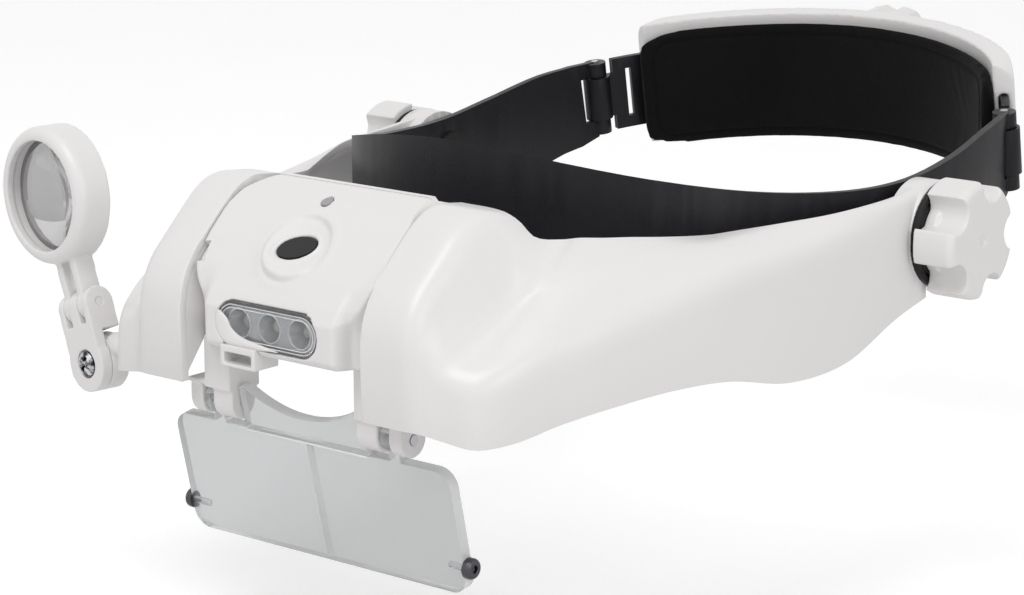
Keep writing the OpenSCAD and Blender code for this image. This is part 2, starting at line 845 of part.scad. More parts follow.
// Charging socket under the lamp, open to the front
module charge_inlet() {
  w = 11;
  h = 5;
  color("#CFCDCB")
    translate([-8.4, 3.4 - lamp_front, belly_z - 1])
      difference() {
        cube([w, 8, h], center = true);
        translate([0, -2, -0.4]) cube([w - 2.4, 6, h - 2.4], center = true);
      }
}

module button_switch() {
  color("#3A3B3F")
    slope_frame()
      translate([0, 0, -9]) {
        translate([-3, -3, 0]) cube([6, 6, 3]);
        cylinder(r = 1.6, h = 4);
      }
}

module power_button() {
  color("#232428")
    slope_frame() {
      translate([0, 0, -2.8]) linear_extrude(height = 2.4) oval(11.4, 6.6);
      translate([0, 0, -3.7]) linear_extrude(height = 1) oval(12.9, 8.1);
      translate([0, 0, 0.05 + button_travel - 5]) cylinder(r = 2, h = 1);
    }
}

// Frame of the indicator, its Z pointing out of the face
module indicator_place() {
  translate([0, light_y, light_z]) rotate([28, 0, 0]) children();
}

module drop(r) {
  circle(r = r);
  rotate([0, 0, 45]) square([r, r]);
}

module indicator_window() {
  color("#9EA0A3")
    indicator_place()
      translate([0, 0, -2]) linear_extrude(height = 1.9) drop(1.45);
}

// Lens plate and its brackets

ear_r = 4.2;
eye_r = 3.6;
hinge_pin_r = 1.2;
arm_from = 19.7;
arm_to = 26;
ear_from = 29.6;
ear_to = 33.4;

module bracket_body() {
  block_y = hinge_y + 5;
  roof = -hinge_drop + ear_r;
  color("#E9E7E6")
    difference() {
      union() {
        translate([arm_from, -block_y, roof - 0.9])
          cube([seam_x - 0.3 - arm_from, 10, belly_z - roof + 0.85]);
        translate([arm_from, -block_y, roof - 0.3]) cube([ear_to - arm_from, 10, 1.2]);
        for (x = [[arm_from, arm_to], [ear_from, ear_to]])
          translate([x[0], -hinge_y, -hinge_drop]) {
            rod_x(ear_r, x[1] - x[0]);
            translate([0, -ear_r, 0]) cube([x[1] - x[0], 2 * ear_r, ear_r + 0.2]);
          }
      }
      translate([arm_from - 1, -hinge_y, -hinge_drop]) rod_x(hinge_pin_r, 30);
      translate([arm_to, -hinge_y, -hinge_drop]) rod_x(eye_r + 0.3, ear_from - arm_to);
      translate([arm_to, -hinge_y - 8, -hinge_drop - 2]) cube([ear_from - arm_to, 16, 2]);
    }
}

module left_bracket() {
  bracket_body();
}

module right_bracket() {
  mirror([1, 0, 0]) bracket_body();
}

module plate_pins() {
  color("#B7B9BC")
    on_sides()
      translate([arm_from + 1, -hinge_y, -hinge_drop]) rod_x(hinge_pin_r, ear_to - arm_from - 0.8);
}

// Frame of the lens plate at its hinge, Z up along the plate
module plate_frame() {
  translate([0, -hinge_y, -hinge_drop]) rotate([plate_lean, 0, 0]) children();
}

plate_top = 6;
stud_z = -plate_top - plate_h + 6.6;
stud_r = 0.9;

module lens_plate() {
  web_r = 31.4;
  web_w = 2 * (arm_from - 0.35);
  tab_w = ear_from - arm_to - 0.4;
  color([0.86, 0.88, 0.9, 0.4])
    plate_frame()
      difference() {
        union() {
          translate([0, plate_t / 2, 0])
            rotate([90, 0, 0])
              linear_extrude(height = plate_t) {
                translate([0, -plate_top - plate_h / 2]) soft_rect(plate_w, plate_h, 4.5);
                difference() {
                  translate([-web_w / 2, -plate_top - 3]) square([web_w, plate_top + 7.5]);
                  translate([0, web_r - 0.5]) circle(r = web_r);
                }
                for (side = [-1, 1])
                  translate([side * (arm_to + 0.2 + tab_w / 2) - tab_w / 2, -plate_top - 3])
                    square([tab_w, plate_top + 3]);
              }
          on_sides() translate([arm_to + 0.2, 0, 0]) rod_x(eye_r, tab_w);
        }
        on_sides() {
          translate([arm_to, 0, 0]) rod_x(hinge_pin_r + run_gap, 5);
          translate([plate_w / 2 - 5, 0, stud_z]) rod_x(stud_r + run_gap, 6);
        }
      }
}

module plate_studs() {
  head_r = 2.5;
  color("#4A4C50")
    plate_frame()
      on_sides()
        translate([plate_w / 2, 0, stud_z]) {
          translate([-4.8, 0, 0]) rod_x(stud_r, 5);
          rotate([0, 90, 0])
            difference() {
              knob_limit(head_r, 2.2, 1);
              translate([0, 0, 1.1]) cylinder(r = 1, h = 3, $fn = 6);
            }
        }
}

// Loupe

loupe_pin_z = 14;
link_w = 12.6;
link_d = 8;
disc_r = 7;
disc_t = 3;
screw_r = 1.5;
slot_in = 1.7;
slot_out = 4.2;
pivot_y = link_d / 2;
mount_stub_r = 3.2;
// The visor's front corner, at its bottom edge
corner = rail_at(rail_foot, 32);

// Frame of the swing screw, beside the visor's front corner
module loupe_frame() {
  translate([-corner[0] - 13.107, corner[1] + 1.87, corner[2] - 1.2])
    rotate([0, 0, -loupe_turn])
      children();
}

// The bar that carries the loupe, from its mount through the visor's wall
module loupe_stub(r) {
  loupe_frame()
    translate([3.6, disc_t + face_gap + mount_stub_r, 4.6]) rod_x(r, 8.2);
}

module link_frame() {
  loupe_frame() rotate([0, -loupe_lean, 0]) children();
}

module loupe_mount() {
  color("#E7E5E4")
    difference() {
      union() {
        loupe_frame()
          translate([0, disc_t + face_gap, 0]) rod_y(disc_r, link_d - disc_t - face_gap);
        loupe_stub(mount_stub_r);
      }
      loupe_frame() rod_y(screw_r, 20);
    }
}

module loupe_screw() {
  head_r = 3.1;
  color("#C9CBCE")
    loupe_frame()
      difference() {
        union() {
          translate([0, 1.2, 0]) rod_y(screw_r, link_d - 1.4);
          intersection() {
            translate([0, -0.8, 0]) rod_y(head_r, 2.1);
            translate([0, 4.4, 0]) sphere(r = 5.4, $fn = 60);
          }
        }
        for (a = [20, 110])
          rotate([0, a, 0]) translate([-2, -1.4, -0.45]) cube([4, 1.6, 0.9]);
      }
}

module loupe_link() {
  color("#E9E7E6")
    link_frame()
      difference() {
        union() {
          rod_y(disc_r, disc_t);
          translate([-link_w / 2, 0, 0]) cube([link_w, disc_t, 8]);
          translate([-link_w / 2, 0, disc_r + 0.3]) cube([link_w, link_d, loupe_pin_z - disc_r - 0.3]);
          translate([-link_w / 2, pivot_y, loupe_pin_z]) rod_x(link_d / 2, link_w);
        }
        translate([0, -1, 0]) rod_y(screw_r + run_gap, 20);
        translate([0, -1, 0]) rod_y(3.5, 2.45);
        for (side = [-1, 1])
          translate([side * (slot_in + slot_out) / 2 - (slot_out - slot_in) / 2, -1, 9.6])
            cube([slot_out - slot_in, 20, 20]);
        translate([-link_w, pivot_y, loupe_pin_z]) rod_x(1, 3 * link_w);
      }
}

module loupe_pin() {
  color("#DAD9D8")
    link_frame()
      translate([0.1 - link_w / 2, pivot_y, loupe_pin_z]) rod_x(1, link_w - 0.2);
}

ring_y = -1.5;
glass_r = loupe_r - 3;

module loupe_ring() {
  rail_w = slot_out - slot_in - 0.2;
  knuckle = link_d / 2 - 0.1;
  bottom = loupe_reach - loupe_r + 1.6;
  edge = 2.6;
  color("#ECEAE9")
    link_frame()
      difference() {
        union() {
          translate([0, ring_y, loupe_reach])
            rotate([-90, 0, 0])
              rotate_extrude()
                difference() {
                  union() {
                    translate([0, edge]) square([loupe_r, loupe_depth - edge]);
                    square([loupe_r - edge, loupe_depth]);
                    translate([loupe_r - edge, edge]) circle(r = edge);
                  }
                  translate([-1, -1]) square([glass_r - 0.4 + 1, 3.2]);
                  translate([-1, 2]) square([glass_r + 1, loupe_depth]);
                }
          for (side = [-1, 1])
            translate([side * (slot_in + slot_out) / 2 - rail_w / 2, pivot_y, loupe_pin_z]) {
              rod_x(knuckle, rail_w);
              translate([0, 1 - knuckle, 0]) cube([rail_w, 2 * knuckle - 2, bottom - loupe_pin_z]);
            }
          translate([-slot_in - 0.2, 3.4, loupe_pin_z + 4.4])
            cube([2 * slot_in + 0.4, 1.6, bottom - loupe_pin_z - 4.4]);
        }
        translate([-link_w, pivot_y, loupe_pin_z]) rod_x(1 + run_gap, 3 * link_w);
      }
}

glass_t = 5;
bulge = 46;
glass_y = ring_y + 2.05;

// Place of the lens's front face, r out from its middle
function glass_front(r) = glass_y + glass_t - bulge + sqrt(pow(bulge, 2) - pow(r, 2));

module loupe_lens() {
  color([0.8, 0.83, 0.85, 0.4])
    link_frame()
      translate([0, glass_y, loupe_reach])
        intersection() {
          rod_y(glass_r - 0.05, glass_t);
          translate([0, bulge, 0]) sphere(r = bulge, $fn = 160);
          translate([0, glass_t - bulge, 0]) sphere(r = bulge, $fn = 160);
        }
}

module loupe_retainer() {
  hole_r = glass_r - 1.5;
  from = glass_front(hole_r) + 0.02;
  color("#DDDBDA")
    link_frame()
      translate([0, from, loupe_reach])
        difference() {
          rod_y(glass_r - 0.05, ring_y + loupe_depth - from - 0.6);
          translate([0, -1, 0]) rod_y(hole_r, 20);
          for (a = [0:60:120])
            rotate([0, a, 0])
              translate([-loupe_r, 2.2, -1.5]) cube([2 * loupe_r, 10, 3]);
        }
}

// Temple knobs

insert_r = 4.5;
insert_h = 7;

module knob_body() {
  lobe_turn = 20;
  color("#E8E6E5")
    translate([knob_x, 0, 0])
      rotate([0, 90, 0])
        difference() {
          union() {
            intersection() {
              rotate([0, 0, lobe_turn]) linear_extrude(height = knob_h) lobed(knob_r, 5, 4.6, 5);
              knob_limit(knob_r, knob_h, 2);
            }
            cylinder(r = 10.4, h = 3);
          }
          translate([0, 0, -1]) cylinder(r = insert_r, h = insert_h + 1);
          translate([0, 0, insert_h - 1]) cylinder(r = bolt_r + 0.4, h = 2.6);
          translate([0, 0, knob_h - 0.6]) cylinder(r = 1.4, h = 1);
        }
}

module insert_body() {
  color("#B08D57")
    translate([knob_x + 0.3, 0, 0])
      difference() {
        rod_x(insert_r, insert_h - 0.3);
        translate([-1, 0, 0]) rod_x(bolt_r + run_gap, insert_h + 2);
      }
}

module left_knob() {
  knob_body();
}

module left_knob_insert() {
  insert_body();
}

module right_knob() {
  mirror([1, 0, 0]) knob_body();
}

module right_knob_insert() {
  mirror([1, 0, 0]) insert_body();
}

front_band();
band_hinge_pins();
temple_bolts();
temple_liners();
rear_housing();
rear_cover();
rear_pad();
rear_screws();
left_strap();
right_strap();
rear_knob();
pinion();
visor_shell();
temple_washers();
lamp_housing();
lamp_back();
lamp_lens();
lamp_reflector();
lamp_leds();
lamp_board();
battery_cell();
charge_inlet();
button_switch();
indicator_window();
power_button();
left_bracket();
right_bracket();
plate_pins();
lens_plate();
plate_studs();
loupe_mount();
loupe_screw();
loupe_link();
loupe_pin();
loupe_ring();
loupe_lens();
loupe_retainer();
left_knob();
left_knob_insert();
right_knob();
right_knob_insert();
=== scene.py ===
import bpy
import json
import math
import bmesh
from mathutils import Matrix, Vector


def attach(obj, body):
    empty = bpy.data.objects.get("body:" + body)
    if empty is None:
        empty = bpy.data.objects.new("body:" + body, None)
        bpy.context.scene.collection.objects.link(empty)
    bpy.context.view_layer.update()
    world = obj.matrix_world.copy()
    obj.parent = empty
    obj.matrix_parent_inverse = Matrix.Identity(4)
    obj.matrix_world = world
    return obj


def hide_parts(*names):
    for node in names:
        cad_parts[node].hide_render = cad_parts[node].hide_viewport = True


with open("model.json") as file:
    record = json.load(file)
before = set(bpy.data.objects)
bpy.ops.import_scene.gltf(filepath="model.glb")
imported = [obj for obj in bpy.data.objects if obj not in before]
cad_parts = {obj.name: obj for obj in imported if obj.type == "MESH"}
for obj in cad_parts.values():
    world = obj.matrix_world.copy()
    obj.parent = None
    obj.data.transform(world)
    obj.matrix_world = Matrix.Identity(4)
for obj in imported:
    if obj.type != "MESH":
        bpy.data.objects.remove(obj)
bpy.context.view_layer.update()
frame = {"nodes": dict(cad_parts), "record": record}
nodes = frame["nodes"]

MM = 0.001
scene = bpy.context.scene


def placed(name, data):
    """A new object in the scene."""
    o = bpy.data.objects.new(name, data)
    scene.collection.objects.link(o)
    return o


def smoothed(mesh):
    for p in mesh.polygons:
        p.use_smooth = True


# Camera, fitted to the photo
CAM_AZ = math.radians(39.8)
CAM_EL = math.radians(12.83)
CAM_DIST = 808.6 * MM
CAM_ASIDE = 39.3 * MM
CAM_BELOW = 27.55 * MM
CAM_LENS = 108.41

right = Vector((math.cos(CAM_AZ), math.sin(CAM_AZ), 0))
back = Vector((
    math.sin(CAM_AZ) * math.cos(CAM_EL),
    -math.cos(CAM_AZ) * math.cos(CAM_EL),
    math.sin(CAM_EL),
))
up = back.cross(right)
cam_data = bpy.data.cameras.new("camera")
cam_data.lens = CAM_LENS
cam_data.sensor_width = 36
cam_data.clip_start = 0.05
cam_data.clip_end = 50
cam = placed("camera", cam_data)
cam.matrix_world = Matrix.Translation(
    back * CAM_DIST - right * CAM_ASIDE - up * CAM_BELOW
) @ Matrix((right, up, back)).transposed().to_4x4()
scene.camera = cam
scene.view_settings.view_transform = "Standard"

# White to the camera and in gloss and glass, a plain level of light on the rest
LIGHT_LEVEL = 0.62
world = bpy.data.worlds.new("studio")
scene.world = world
world.use_nodes = True
wt = world.node_tree
bg = wt.nodes["Background"]
bg.inputs["Color"].default_value = (1, 1, 1, 1)
path = wt.nodes.new("ShaderNodeLightPath")
seen = path.outputs["Is Camera Ray"]
for ray in ("Is Transmission Ray", "Is Glossy Ray"):
    either = wt.nodes.new("ShaderNodeMath")
    either.operation = "MAXIMUM"
    wt.links.new(seen, either.inputs[0])
    wt.links.new(path.outputs[ray], either.inputs[1])
    seen = either.outputs[0]
level = wt.nodes.new("ShaderNodeMapRange")
level.inputs["To Min"].default_value = LIGHT_LEVEL
level.inputs["To Max"].default_value = 1.0
wt.links.new(seen, level.inputs["Value"])
wt.links.new(level.outputs["Result"], bg.inputs["Strength"])

LIGHT_AIM = Vector((0, -0.05, 0))


def light(name, place, size, power):
    """A round lamp that points at the object's middle."""
    data = bpy.data.lights.new(name, "AREA")
    data.shape = "DISK"
    data.size = size
    data.energy = power
    o = placed(name, data)
    o.location = place
    o.rotation_mode = "QUATERNION"
    o.rotation_quaternion = (LIGHT_AIM - Vector(place)).to_track_quat("-Z", "Y")


light("key", (0.1, -0.7, 1.0), 0.7, 5.0)
light("side", (1.0, -0.3, 0.35), 0.5, 1.6)

# Where the noise lies, how far it moves the roughness, and the grain's depth in metres
NOISE_LOW, NOISE_HIGH = 0.3, 0.7
ROUGH_LESS, ROUGH_MORE = 0.88, 1.15
GRAIN_DEPTH = 0.0002


def material(name, color, rough, metal=0.0, trans=0.0, ior=1.49, grain=0.0, grain_size=900,
             vary=0.0, sheen=0.0, gloss=0.5, cloud_size=28, hard=0.0):
    """A shader with its own noise for colour, roughness and a moulded grain.

    vary is how far the colour moves with the noise, and hard, above 0, gives it clear edges.
    """
    m = bpy.data.materials.new(name)
    m.use_nodes = True
    tree = m.node_tree
    p = tree.nodes["Principled BSDF"]
    p.inputs["Base Color"].default_value = (*color, 1)
    p.inputs["Roughness"].default_value = rough
    p.inputs["Metallic"].default_value = metal
    p.inputs["Transmission Weight"].default_value = trans
    p.inputs["IOR"].default_value = ior
    p.inputs["Sheen Weight"].default_value = sheen
    p.inputs["Specular IOR Level"].default_value = gloss
    at = tree.nodes.new("ShaderNodeTexCoord")
    cloud = tree.nodes.new("ShaderNodeTexNoise")
    cloud.inputs["Scale"].default_value = cloud_size
    cloud.inputs["Detail"].default_value = 5
    tree.links.new(at.outputs["Object"], cloud.inputs["Vector"])
    uneven = tree.nodes.new("ShaderNodeMapRange")
    uneven.inputs["From Min"].default_value = NOISE_LOW
    uneven.inputs["From Max"].default_value = NOISE_HIGH
    uneven.inputs["To Min"].default_value = rough * ROUGH_LESS
    uneven.inputs["To Max"].default_value = min(rough * ROUGH_MORE, 1)
    tree.links.new(cloud.outputs["Fac"], uneven.inputs["Value"])
    tree.links.new(uneven.outputs["Result"], p.inputs["Roughness"])
    if vary:
        tint = tree.nodes.new("ShaderNodeMix")
        tint.data_type = "RGBA"
        tint.inputs["A"].default_value = (*[c * (1 - vary) for c in color], 1)
        tint.inputs["B"].default_value = (*[min(c * (1 + vary), 1) for c in color], 1)
        share = cloud.outputs["Fac"]
        if hard:
            crisp = tree.nodes.new("ShaderNodeMapRange")
            crisp.inputs["From Min"].default_value = 0.5 - hard
            crisp.inputs["From Max"].default_value = 0.5 + hard
            tree.links.new(share, crisp.inputs["Value"])
            share = crisp.outputs["Result"]
        tree.links.new(share, tint.inputs["Factor"])
        tree.links.new(tint.outputs["Result"], p.inputs["Base Color"])
    if grain:
        fine = tree.nodes.new("ShaderNodeTexNoise")
        fine.inputs["Scale"].default_value = grain_size
        fine.inputs["Detail"].default_value = 3
        tree.links.new(at.outputs["Object"], fine.inputs["Vector"])
        bump = tree.nodes.new("ShaderNodeBump")
        bump.inputs["Strength"].default_value = grain
        bump.inputs["Distance"].default_value = GRAIN_DEPTH
        tree.links.new(fine.outputs["Fac"], bump.inputs["Height"])
        tree.links.new(bump.outputs["Normal"], p.inputs["Normal"])
    return m


# Floor, a little brighter to the camera than the light on it, with the object's shadow
FLOOR_Z = -0.0935
FLOOR_HALF, FLOOR_NEAR, FLOOR_FAR = 4, -4, 6
FLOOR_GLOW = 0.34
floor_mesh = bpy.data.meshes.new("floor")
corners = (
    (-FLOOR_HALF, FLOOR_NEAR), (FLOOR_HALF, FLOOR_NEAR),
    (FLOOR_HALF, FLOOR_FAR), (-FLOOR_HALF, FLOOR_FAR),
)
floor_mesh.from_pydata([(x, y, FLOOR_Z) for x, y in corners], [], [(0, 1, 2, 3)])
floor = placed("floor", floor_mesh)
ground = material("ground", (0.85, 0.85, 0.85), 0.9)
gt = ground.node_tree
shader = gt.nodes["Principled BSDF"]
shader.inputs["Emission Color"].default_value = (1, 1, 1, 1)
ray_kind = gt.nodes.new("ShaderNodeLightPath")
glow = gt.nodes.new("ShaderNodeMath")
glow.operation = "MULTIPLY"
glow.inputs[1].default_value = FLOOR_GLOW
gt.links.new(ray_kind.outputs["Is Camera Ray"], glow.inputs[0])
gt.links.new(glow.outputs[0], shader.inputs["Emission Strength"])
floor_mesh.materials.append(ground)

LOOKS = {
    "white_plastic": dict(color=(0.78, 0.765, 0.76), rough=0.34, grain=0.08, vary=0.015),
    "band_plastic": dict(
        color=(0.0055, 0.0055, 0.008), rough=0.4, grain=0.2, grain_size=1400, vary=0.1, gloss=0.3,
    ),
    "steel": dict(color=(0.55, 0.55, 0.57), rough=0.3, metal=1, grain=0.05),
    "black_rubber": dict(color=(0.006, 0.006, 0.007), rough=0.6, grain=0.3, vary=0.1, gloss=0.35),
    "pad_cover": dict(
        color=(0.004, 0.004, 0.0045), rough=0.9, grain=0.7, grain_size=1500, vary=0.25,
        sheen=0.04, gloss=0.12,
    ),
    "nylon": dict(color=(0.6, 0.6, 0.58), rough=0.5, grain=0.1),
    "clear_plastic": dict(color=(0.93, 0.935, 0.94), rough=0.03, trans=0.92, ior=1.25),
    "reflector": dict(color=(0.42, 0.43, 0.45), rough=0.2, metal=0.7, vary=0.15),
    "led_resin": dict(color=(0.72, 0.73, 0.72), rough=0.12, trans=0.6, vary=0.05),
    "board": dict(color=(0.03, 0.1, 0.05), rough=0.5, vary=0.1),
    "cell_wrap": dict(color=(0.04, 0.06, 0.13), rough=0.4, vary=0.05),
    "switch_black": dict(color=(0.02, 0.02, 0.02), rough=0.5, grain=0.2),
    "button_rubber": dict(color=(0.012, 0.012, 0.014), rough=0.5, grain=0.3, gloss=0.35),
    "grey_window": dict(color=(0.3, 0.3, 0.31), rough=0.3, grain=0.6, grain_size=1100, vary=0.3),
    "lens_acrylic": dict(color=(0.86, 0.87, 0.875), rough=0.03, trans=0.86, ior=1.2),
    "dark_steel": dict(color=(0.1, 0.1, 0.11), rough=0.3, metal=1, grain=0.1),
    # chrome_screw: its hard-edged dark and bright colour patches are a painted reflection
    "chrome_screw": dict(
        color=(0.4, 0.4, 0.415), rough=0.12, metal=1, vary=0.9, cloud_size=520, hard=0.08,
    ),
    "loupe_glass": dict(color=(0.61, 0.6, 0.607), rough=0.02, trans=0.97, ior=1.45),
    "brass_insert": dict(color=(0.6, 0.42, 0.16), rough=0.3, metal=1, grain=0.1),
}
looks = {slot: material(slot, **look) for slot, look in LOOKS.items()}
slot_of = {part["node"]: part["material_slot"] for part in frame["record"]["subparts"]}
body_of = {n: b for b, names in frame["record"]["behaviour"]["bodies"].items() for n in names}
for name, slot in slot_of.items():
    nodes[name].data.materials.clear()
    nodes[name].data.materials.append(looks[slot])
SHARP_ANGLE = math.radians(32)
for o in nodes.values():
    smoothed(o.data)
    bpy.context.view_layer.objects.active = o
    o.select_set(True)
    bpy.ops.object.shade_smooth_by_angle(angle=SHARP_ANGLE)
    o.select_set(False)

COARSE = 1.0


def bake(o):
    """The object's modifiers become its mesh."""
    shown = o.evaluated_get(bpy.context.evaluated_depsgraph_get())
    mesh = bpy.data.meshes.new_from_object(shown)
    o.modifiers.clear()
    o.data = mesh


def piece(name, mesh, *stands_for):
    """A new piece in place of CAD nodes, with the first one's body and finish."""
    o = placed(name, mesh)
    mesh.materials.clear()
    mesh.materials.append(looks[slot_of[stands_for[0]]])
    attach(o, body_of[stands_for[0]])
    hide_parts(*stands_for)
    return o


def new_skin(o, voxel, passes):
    """Adds a remesh in voxels of so many millimetres, and its smoothing."""
    skin = o.modifiers.new("skin", "REMESH")
    skin.mode = "VOXEL"
    skin.voxel_size = voxel * MM
    skin.use_smooth_shade = True
    soft = o.modifiers.new("soft", "SMOOTH")
    soft.factor = 0.5
    soft.iterations = passes


def recast(node, voxel, passes=4, keep=1.0):
    """The node with every edge rounded as a mould does, thinned out to a share of its faces."""
    o = piece(node + "_cast", nodes[node].data.copy(), node)
    new_skin(o, voxel * COARSE, passes)
    if keep < 1:
        o.modifiers.new("thin", "DECIMATE").ratio = keep
    bake(o)
    smoothed(o.data)
    return o


def edged(node, width):
    """A copy with clean faces and its sharp edges rounded off."""
    o = piece(node + "_edged", nodes[node].data.copy(), node)
    bm = bmesh.new()
    bm.from_mesh(o.data)
    bmesh.ops.remove_doubles(bm, verts=bm.verts, dist=2e-6)
    bmesh.ops.dissolve_limit(bm, angle_limit=0.02, verts=bm.verts, edges=bm.edges)
    bm.to_mesh(o.data)
    bm.free()
    return bevelled(o, width)


def grid_faces(rings, count):
    """Faces of a closed tube of rings, each with count points."""
    faces = []
    for i in range(rings - 1):
        for j in range(count):
            k = (j + 1) % count
            faces.append((i * count + j, (i + 1) * count + j, (i + 1) * count + k, i * count + k))
    for j in range(count // 2 - 1):
        a = (j, j + 1, count - 2 - j, count - 1 - j)
        faces.append(a)
        faces.append(tuple(v + (rings - 1) * count for v in reversed(a)))
    return faces


# Visor: the arm's skin follows the same four rails as the CAD loft, in finer steps. Each
# knot gives the share of the way out, the share of the way ahead, and the height.
ARM_X, SEAM_X, AHEAD, WALL = 85.0, 28.42, 148.4, 2.2
RAIL_S = (0, 12, 16, 20, 25, 32, 38, 48, 60, 75, 90, 110, 130, 150, 168)
RAILS = {
    "roof": (
        (0, 0.765, 18), (0.214, 0.765, 17.6), (0.293, 0.761, 15.8), (0.364, 0.755, 12.4),
        (0.434, 0.728, 11.8), (0.461, 0.694, 11.6), (0.496, 0.654, 10.9), (0.532, 0.606, 10.2),
        (0.576, 0.539, 9), (0.629, 0.458, 7.9), (0.682, 0.414, 8.2), (0.788, 0.334, 9.1),
        (0.885, 0.243, 10), (0.92, 0.115, 10.8), (0.92, 0.034, 12),
    ),
    "crest": (
        (0, 0.852, 19.6), (0.208, 0.852, 18.9), (0.265, 0.846, 16.5), (0.32, 0.836, 9),
        (0.39, 0.822, -1), (0.487, 0.795, 0), (0.558, 0.755, 2), (0.629, 0.694, 3.5),
        (0.673, 0.627, 5.2), (0.735, 0.539, 6), (0.806, 0.451, 6.3), (0.876, 0.337, 7.4),
        (0.947, 0.229, 9), (0.973, 0.115, 10.6), (0.982, 0.034, 11.6),
    ),
    "ridge": (
        (0, 1, -1.2), (0.196, 0.998, -1.6), (0.244, 0.992, -2.6), (0.282, 0.978, -7),
        (0.35, 0.968, -12.5), (0.496, 0.95, -14.5), (0.572, 0.903, -12.2), (0.643, 0.829, -9.5),
        (0.723, 0.741, -5.7), (0.809, 0.627, -1), (0.875, 0.519, 2), (0.936, 0.384, 3.8),
        (0.979, 0.249, 4.8), (0.996, 0.121, 5.5), (1, 0.034, 6),
    ),
    "foot": (
        (0, 0.996, -26.8), (0.208, 0.995, -26.9), (0.261, 0.991, -27), (0.314, 0.981, -27.6),
        (0.381, 0.973, -28.4), (0.505, 0.956, -29.5), (0.579, 0.903, -28.9), (0.647, 0.829, -26.4),
        (0.723, 0.741, -24.4), (0.809, 0.627, -22.9), (0.875, 0.519, -23.3), (0.929, 0.384, -27),
        (0.968, 0.249, -25.8), (0.993, 0.121, -18.4), (1, 0.034, -15),
    ),
}
# Rounding of the section's bends, and how far the inside steps in beside the cheek
SOFT = ((0, 16, 25, 38, 75, 168), (10, 8, 4, 6, 7, 4))
CHEEK = ((0, 12, 16, 25, 32, 60, 168), (0, 0, 0.8, 0.8, 0, 0, 0))
BEND_POINTS = 9


def smooth_at(at, values, s):
    """Value on a smooth line through knots, with the slope of each knot's neighbours."""
    last = len(at) - 1
    i = 0
    while i < last - 1 and s >= at[i + 1]:
        i += 1
    w = at[i + 1] - at[i]
    u = min(max((s - at[i]) / w, 0), 1)

    def slope(k):
        a, b = max(k - 1, 0), min(k + 1, last)
        return (values[b] - values[a]) / (at[b] - at[a])

    m0, m1 = slope(i) * w, slope(i + 1) * w
    return ((2 * u**3 - 3 * u * u + 1) * values[i] + (u**3 - 2 * u * u + u) * m0
            + (3 * u * u - 2 * u**3) * values[i + 1] + (u**3 - u * u) * m1)


def rail_at(name, s):
    """Point of a rail at a length along the arm, in millimetres."""
    out, ahead, z = (smooth_at(RAIL_S, [k[a] for k in RAILS[name]], s) for a in range(3))
    return Vector((SEAM_X + out * (ARM_X - SEAM_X), -ahead * AHEAD, z))


def bend(a, b, c, reach):
    """Points of a rounded corner at b, between a and c."""
    p = b + (a - b) * min(reach / (a - b).length, 0.48)
    q = b + (c - b) * min(reach / (c - b).length, 0.48)
    steps = [i / (BEND_POINTS - 1) for i in range(BEND_POINTS)]
    return [p * (1 - u) ** 2 + b * 2 * u * (1 - u) + q * u * u for u in steps]


def arm_loop(s):
    """The arm's section as a closed loop of points, outside first."""
    roof, crest, ridge, foot = (rail_at(k, s) for k in ("roof", "crest", "ridge", "foot"))
    d = rail_at("foot", s + 0.5) - rail_at("foot", s - 0.5)
    inward = Vector((-d.y, d.x, 0)).normalized() * WALL
    down = Vector((0, 0, -WALL))
    aside = Vector((-WALL * smooth_at(*CHEEK, s), 0, 0))
    in_roof, in_crest = roof + down + aside, crest + 0.5 * inward + 0.9 * down + aside
    in_ridge, in_foot = ridge + inward + 0.2 * down + aside, foot + inward + aside
    soft = smooth_at(*SOFT, s)
    return [
        roof, *bend(roof, crest, ridge, soft), *bend(crest, ridge, foot, soft), foot,
        in_foot, *bend(in_foot, in_ridge, in_crest, soft),
        *bend(in_ridge, in_crest, in_roof, soft), in_roof,
    ]


def prism(outline, x0, x1):
    """A flat outline in y and z, drawn from x0 to x1."""
    n = len(outline)
    pts = [Vector((x, y, z)) for x in (x0, x1) for y, z in outline]
    faces = [tuple(range(n - 1, -1, -1)), tuple(range(n, 2 * n))]
    faces += [(i, (i + 1) % n, (i + 1) % n + n, i + n) for i in range(n)]
    return pts, faces


def tube(r0, r1, x0, x1):
    """A ring about the x axis."""
    n = 96
    pts = [Vector((x, r * math.cos(2 * math.pi * i / n), r * math.sin(2 * math.pi * i / n)))
           for r, x in ((r0, x0), (r1, x0), (r1, x1), (r0, x1)) for i in range(n)]
    faces = [(a * n + i, a * n + (i + 1) % n, b * n + (i + 1) % n, b * n + i)
             for a, b in ((0, 1), (1, 2), (2, 3), (3, 0)) for i in range(n)]
    return pts, faces


def solid(parts, mirror=True):
    """One mesh of closed bodies in millimetres, with their mirror images."""
    pts, faces = [], []
    for p, f in parts:
        for side in ((1, -1) if mirror else (1,)):
            base = len(pts)
            pts += [(v.x * side * MM, v.y * MM, v.z * MM) for v in p]
            faces += [tuple(base + i for i in (q if side > 0 else reversed(q))) for q in f]
    mesh = bpy.data.meshes.new("solid")
    mesh.from_pydata(pts, [], faces)
    bm = bmesh.new()
    bm.from_mesh(mesh)
    bmesh.ops.recalc_face_normals(bm, faces=bm.faces)
    bm.to_mesh(mesh)
    bm.free()
    return mesh


def bevelled(o, width, segments=3, angle=28):
    """Rounds the sharp edges and leaves the rest as it is."""
    b = o.modifiers.new("edge", "BEVEL")
    b.width = width * MM
    b.segments = segments
    b.limit_method = "ANGLE"
    b.angle_limit = math.radians(angle)
    b.harden_normals = True
    bake(o)
    smoothed(o.data)
    return o


# The eye that the temple bolt passes
BOLT_BORE, EYE_R, EYE_IN = 2.56, 13.3, 77.4
